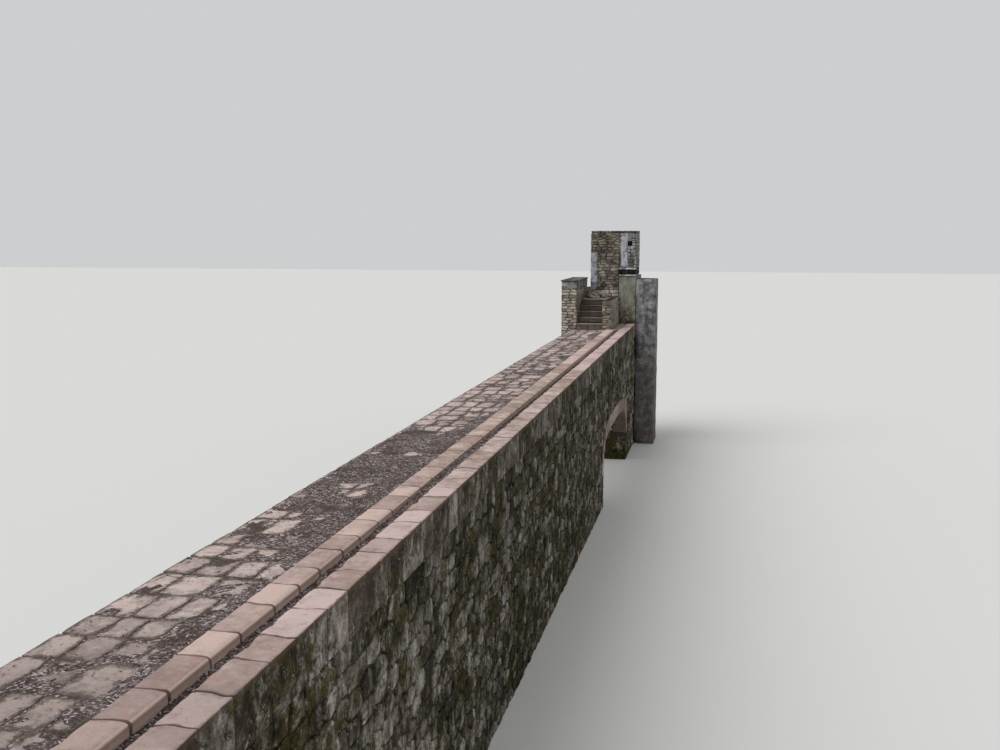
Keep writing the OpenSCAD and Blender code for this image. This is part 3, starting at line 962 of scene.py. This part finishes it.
class ArchCurve:
    """The arch's inner curve in the plane of the face, walked by length from the far springing."""

    def __init__(self, low, high):
        self.middle = (low.y + high.y) / 2
        self.spring = low.z
        self.half = (high.y - low.y) / 2 - RING
        self.flat = self.half - HAUNCH
        rise = HAUNCH + CROWN_RISE
        self.crown = (rise ** 2 + self.flat ** 2 - HAUNCH ** 2) / (2 * CROWN_RISE)
        self.turn = math.acos(self.flat / (self.crown - HAUNCH))
        self.haunch_length = HAUNCH * self.turn
        self.crown_length = self.crown * (math.pi - 2 * self.turn)
        self.length = 2 * self.haunch_length + self.crown_length

    def circle(self, haunch):
        """Centre and radius of the circle that each place is on: a haunch's, or else the crown's."""
        centre_z = np.where(haunch, 0.0, HAUNCH + CROWN_RISE - self.crown)
        return np.where(haunch, self.flat, 0.0), centre_z, np.where(haunch, HAUNCH, self.crown)

    def at(self, walked):
        """Places on the curve and the directions from its centres, for arrays of lengths walked."""
        first = walked < self.haunch_length
        last = walked > self.haunch_length + self.crown_length
        angle = np.where(first, walked / HAUNCH, self.turn + (walked - self.haunch_length) / self.crown)
        angle = np.where(last, math.pi - (self.length - walked) / HAUNCH, angle)
        aside, centre_z, radius = self.circle(first | last)
        centre_y = np.where(last, -aside, aside)
        away = np.stack([np.cos(angle), np.sin(angle)], axis=1)
        spot = np.stack([self.middle + centre_y, self.spring + centre_z], axis=1) + away * radius[:, None]
        return spot, away

    def clear_of_ring(self, y, z):
        """Places on the face moved clear of the ring stones, and whether each one moved."""
        off = np.abs(y - self.middle)
        side = np.sign(y - self.middle)
        over = z - self.spring
        jamb = over < 0
        clear_of_jamb = self.half + CLEARANCE / 2
        haunch = ~jamb & (np.arctan2(over, off - self.flat) < self.turn)
        centre_y, centre_z, radius = self.circle(haunch)
        radius = radius + (RING + CLEARANCE)
        reach = np.hypot(off - centre_y, over - centre_z)
        within = np.where(jamb, off < clear_of_jamb, reach < radius)
        out_y = np.where(jamb, clear_of_jamb, centre_y + (off - centre_y) * radius / reach)
        out_z = np.where(jamb, over, centre_z + (over - centre_z) * radius / reach)
        spot_y = np.where(within, self.middle + side * out_y, y)
        return spot_y, np.where(within, self.spring + out_z, z), within


FINISHES = {
    "sandstone": pink_sandstone("coping_sandstone", 0),
    "kerbstone": pink_sandstone("kerb_sandstone", 6),
    "ringstone": pink_sandstone("ring_sandstone", 0, True),
    "slabstone": deck_sandstone(),
    "rubble": rubble_stone("mossy_rubble", 0, 1.0),
    "light_rubble": rubble_stone("abutment_rubble", 44, 0),
    # Painted light: the plinth and the fallen stones get a paler copy of the abutment rubble, lightened to
    # make up for the shade of the corner by the tower and cheek and of the fallen stones.
    "pale_rubble": rubble_stone("plinth_rubble", 62, 0),
    "old_rubble": rubble_stone("weathered_rubble", 16, 0.55),
    "dark_rubble": rubble_stone("tower_rubble", 34, 0.42, -0.03, True),
    "render": wall_render(),
    "plaster": pale_plaster(),
    "soil": leaf_soil(),
    "litter": leaf_litter(),
}
for name, node in frame["nodes"].items():
    node.data.materials.clear()
    node.data.materials.append(FINISHES[slot_of[name]])

# Crest, with the grid of each kind of stone and how much finer it is nearer the camera
COPING_GRID = (8, 10, 7)
KERB_GRID = (10, 9, 8)
DECK_GRID = (8, 9, 4)
for part, finer in (("near", 6), ("middle", 3), ("far", 1)):
    crest_stones("coping_stones_" + part, "coping_" + part, "sandstone", coping_stone, COPING_GRID, finer)
    crest_stones("kerb_stones_" + part, "kerb_" + part, "kerbstone", kerb_stone, KERB_GRID, finer)
    crest_stones("deck_slabs_" + part, "deck_" + part, "slabstone", deck_slab, DECK_GRID)
crest_stones("coping_stones_pier", "pier_head_coping", "sandstone", coping_stone, COPING_GRID, 1)
lay_soil("deck_soil", np.arange(LEFT_FACE + 0.01, DECK_SIDE + 0.012, 0.03), 0.035, deck_soil_height)
lay_soil("gutter_soil", np.linspace(KERB_SIDE - 0.01, COPING + 0.04, 9), 0.03, gutter_soil_height)
lay_litter("deck_litter", 40000, litter_on_deck, deck_soil_height)
lay_litter("gutter_litter", 16000, litter_in_gutter, gutter_soil_height)

# Walls: mortar bodies with stone-faced sides
WALL_RELIEF = 1.8
PART_ENDS = {"near": -10, "middle": -1.5, "far": 7, "arch": TOWER}
arch = ArchCurve(*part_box("arch_stones_right"))
JAMB_NEAR = arch.middle - arch.half
JAMB_FAR = arch.middle + arch.half
for node in ("near_wall", "middle_wall", "far_wall", "arch_spandrel", "arch_pier"):
    recessed(node + "_mortar", node, (0, FACE, 1), (0, LEFT_FACE, -1), (1, NEAR_END, -1),
             (1, JAMB_NEAR, 1), (1, JAMB_FAR, -1), depth=0.028)


def clear_of_arch(start, direction):
    """Trims rubble on a face that runs from start in a direction along Y, clear of the arch's ring."""
    def trim(ring):
        y, z, moved = arch.clear_of_ring(start + direction * ring[:, 0], ring[:, 1])
        return None if moved.mean() > 0.6 else np.stack([(y - start) * direction, z], axis=1)
    return trim


for side, x, start, end, head in (
        ("right", FACE, NEAR_END, TOWER, COPING_FOOT), ("left", LEFT_FACE, STEPS, NEAR_END, deck_low.z)):
    direction = 1 if end > start else -1
    heaps = {part: Heap() for part in PART_ENDS}
    trim = clear_of_arch(start, direction)
    for middle, stone in face_stones((x, start, x, end, 0, head), 0.36, 0.21, 5, 0.02, WALL_RELIEF, trim):
        y = start + direction * middle[0]
        heaps[next(part for part in PART_ENDS if y < PART_ENDS[part])].add(*stone)
    for part, heap in heaps.items():
        heap.piece("%s_rubble_%s" % (side, part), "rubble", sharp=28)
rubble_faces(
    "end_rubble", "rubble", 0.36, 0.2, 0.02, WALL_RELIEF,
    (LEFT_FACE, NEAR_END, FACE, NEAR_END, 0, COPING_FOOT),
    (LEFT_FACE, NEAR_END, COPING, NEAR_END, COPING_FOOT, KERB_FOOT),
    (LEFT_FACE, NEAR_END, DECK_SIDE, NEAR_END, KERB_FOOT, BED),
    (FACE, JAMB_NEAR, LEFT_FACE, JAMB_NEAR, 0, arch.spring),
    (LEFT_FACE, JAMB_FAR, FACE, JAMB_FAR, 0, arch.spring))

# Arch: dressed ring stones on both faces, and a rubble soffit between them
for side in ("right", "left"):
    dressed("ring_stones_" + side, ["arch_stones_" + side], "ringstone", 0.01, 0.15, 0.008, 0.01)


def under_arch(plan, depth):
    """Carries a plan on to the soffit; depth counts down from it."""
    spot, away = arch.at(plan[:, 1])
    return np.column_stack([barrel_low.x + plan[:, 0], spot - away * depth[:, None]])


soffit = Heap()
for _, stone in rubble_stones(under_arch, barrel_high.x - barrel_low.x, arch.length, 0.3, 0.2, 8):
    soffit.add(*stone)
soffit.piece("soffit_rubble", "rubble", sharp=28)

# Abutment: rubble cheeks, steps between them, and the base of the tower
recessed("cheek_mortar", "left_cheek", (0, cheek_low.x, -1), (1, STEPS, -1), (0, cheek_high.x, 1))
recessed("low_cheek_mortar", "low_cheek", (0, side_low.x, -1), (1, STEPS, -1), (0, side_high.x, 1))
recessed("abutment_mortar", "abutment_base", (0, cheek_low.x, -1), (1, BACK, 1), (0, FACE, 1))
recessed("plinth_mortar", "tower_plinth", (0, cheek_low.x, -1), (1, BACK, 1), (1, TOWER, -1))
rubble_faces(
    "cheek_rubble", "light_rubble", 0.24, 0.085, 0.016, 1.0,
    (cheek_low.x, STEPS, LEFT_FACE, STEPS, 0, BED),
    (cheek_low.x, STEPS, cheek_high.x, STEPS, BED, cheek_high.z),
    (cheek_high.x, STEPS, cheek_high.x, TOWER, BED, cheek_high.z),
    (side_low.x, STEPS, side_high.x, STEPS, BED, side_high.z),
    (side_low.x, TOWER, side_low.x, STEPS, BED, side_high.z),
    (side_high.x, STEPS, side_high.x, TOWER, BED, side_high.z))
rubble_faces(
    "abutment_rubble", "old_rubble", 0.3, 0.14, 0.02, 1.0,
    (cheek_low.x, BACK, cheek_low.x, STEPS, 0, PLINTH),
    (cheek_low.x, TOWER, cheek_low.x, STEPS, PLINTH, cheek_high.z),
    (FACE, BACK, cheek_low.x, BACK, 0, CREST),
    (BLOCK_SIDE, BACK, cheek_low.x, BACK, CREST, PLINTH),
    (FACE, wing_high.y, FACE, BACK, 0, CREST))
# The pale rubble here is painted light against the shade of the corner.
rubble_faces(
    "plinth_rubble", "pale_rubble", 0.3, 0.12, 0.02, 1.0,
    (cheek_high.x, TOWER, BLOCK_SIDE, TOWER, landing_high.z, PLINTH))


def scatter_stones(count):
    """Fallen stones on the landing, thickest in front of the tower."""
    heap = Heap()
    grid, quads = box_grid(4, 4, 4)
    for k in range(count):
        size = np.array([uniform(0.08, 0.2), uniform(0.08, 0.18), uniform(0.05, 0.12)])
        back = chance.random() ** 0.7
        x = uniform(landing_low.x + 0.1, landing_high.x - 0.1)
        y = landing_low.y + 0.12 + back * (TOWER - landing_low.y - 0.24)
        base = landing_high.z - 0.01 + (chance.random() < back) * uniform(0.03, 0.1)
        points = worn_block(-size / 2, size / 2, grid, 0.022, k * 3.7, 0.03, 0.012)[0]
        turn = uniform(0, math.pi)
        lean = uniform(-0.25, 0.25)
        cos, sin = math.cos(turn), math.sin(turn)
        points = points @ np.array([[cos, sin, lean], [-sin, cos, 0], [-lean, 0, 1]])
        heap.add(points + [x, y, base - points[:, 2].min()], quads, chance.random(), 0.3)
    # The fallen stones share the pale rubble's painted light.
    heap.piece("fallen_stones", "pale_rubble", sharp=45)


scatter_stones(46)
dressed("cheek_band_stones", ["cheek_band"], "plaster", 0.01, 0.12, 0.006, 0.01, (0.42, 0.52))
dressed("cheek_cap_slab", ["cheek_cap"], "render", 0.01, 0.12, 0.008, 0.02)
dressed("step_stones", ["step_%d" % k for k in range(1, 6)], "slabstone", 0.012, 0.11, 0.014, 0.03)
dressed("landing_slab", ["landing"], "slabstone", 0.012, 0.14, 0.012, 0.012)
dressed("pier_head_stone", ["pier_head_slab"], "slabstone", 0.012, 0.14, 0.008, 0.02)
dressed("gate_block_plaster", ["gate_block"], "plaster", 0.014, 0.16, 0.014, 0.03, (0.5, 0.55))
dressed("wing_pier_plaster", ["wing_pier"], "plaster", 0.02, 0.2, 0.016, 0.03, (0.5, 0.55))

# Gate tower: thin flat rubble, ledges, a thin head and pale plastered strips
HOLE_LEFT, HOLE_RIGHT = 0.47, 0.63
HOLE_FOOT, HOLE_HEAD = 7.17, 7.33
for side in ("front", "left", "right", "back"):
    recessed("tower_%s_mortar" % side, "tower_%s_wall" % side, (0, tower_low.x, -1),
             (0, tower_end.x, 1), (1, TOWER, -1), (1, tower_end.y, 1), (2, UNDER_HEAD, -1))
rubble_faces(
    "tower_rubble", "dark_rubble", 0.24, 0.095, 0.014, 1.0,
    (tower_low.x, TOWER, BLOCK_SIDE, TOWER, PLINTH, UNDER_HEAD),
    (BLOCK_SIDE, TOWER, FACE, TOWER, LINTEL, HOLE_FOOT),
    (BLOCK_SIDE, TOWER, HOLE_LEFT, TOWER, HOLE_FOOT, UNDER_HEAD),
    (HOLE_LEFT, TOWER, HOLE_RIGHT, TOWER, HOLE_HEAD, UNDER_HEAD),
    (HOLE_RIGHT, TOWER, FACE, TOWER, HOLE_FOOT, UNDER_HEAD),
    (tower_low.x, tower_end.y, tower_low.x, TOWER, PLINTH, UNDER_HEAD),
    (FACE, TOWER, FACE, tower_end.y, LINTEL, UNDER_HEAD),
    (BLOCK_SIDE, tower_end.y, tower_low.x, tower_end.y, PLINTH, UNDER_HEAD),
    (FACE, tower_end.y, BLOCK_SIDE, tower_end.y, LEDGE, UNDER_HEAD))
dressed("gate_ledge_slab", ["gate_ledge", "tower_lintel"], "plaster", 0.01, 0.12, 0.008, 0.02, (0.9, 1.0))
dressed("tower_head_slab", ["tower_head"], "render", 0.012, 0.14, 0.012, 0.03)
dressed("strip_plaster", ["plaster_strips"], "plaster", 0.006, 0.1, 0.006, 0.014, (0.78, 0.86), (0.84, 0.94))


# Stage: a pale floor and soft light from above
bpy.ops.mesh.primitive_plane_add(size=400, location=(0, 0, 0))
floor = bpy.context.object
floor.name = "floor"
f = Finish("pale_floor")
floor.data.materials.append(f.done(paint(214, 213, 210), 0.95, f.noise(2.0), 0.001))
world = bpy.data.worlds.new("sky")
world.use_nodes = True
background = world.node_tree.nodes["Background"].inputs
background["Color"].default_value = paint(236, 238, 240)
background["Strength"].default_value = 0.72
bpy.context.scene.world = world
lamp = bpy.data.lights.new("soft_sun", "SUN")
lamp.energy = 1.8
lamp.angle = math.radians(50)
linked("soft_sun", lamp).rotation_euler = (math.radians(24), math.radians(-34), 0)
bpy.context.scene.view_settings.view_transform = "Standard"
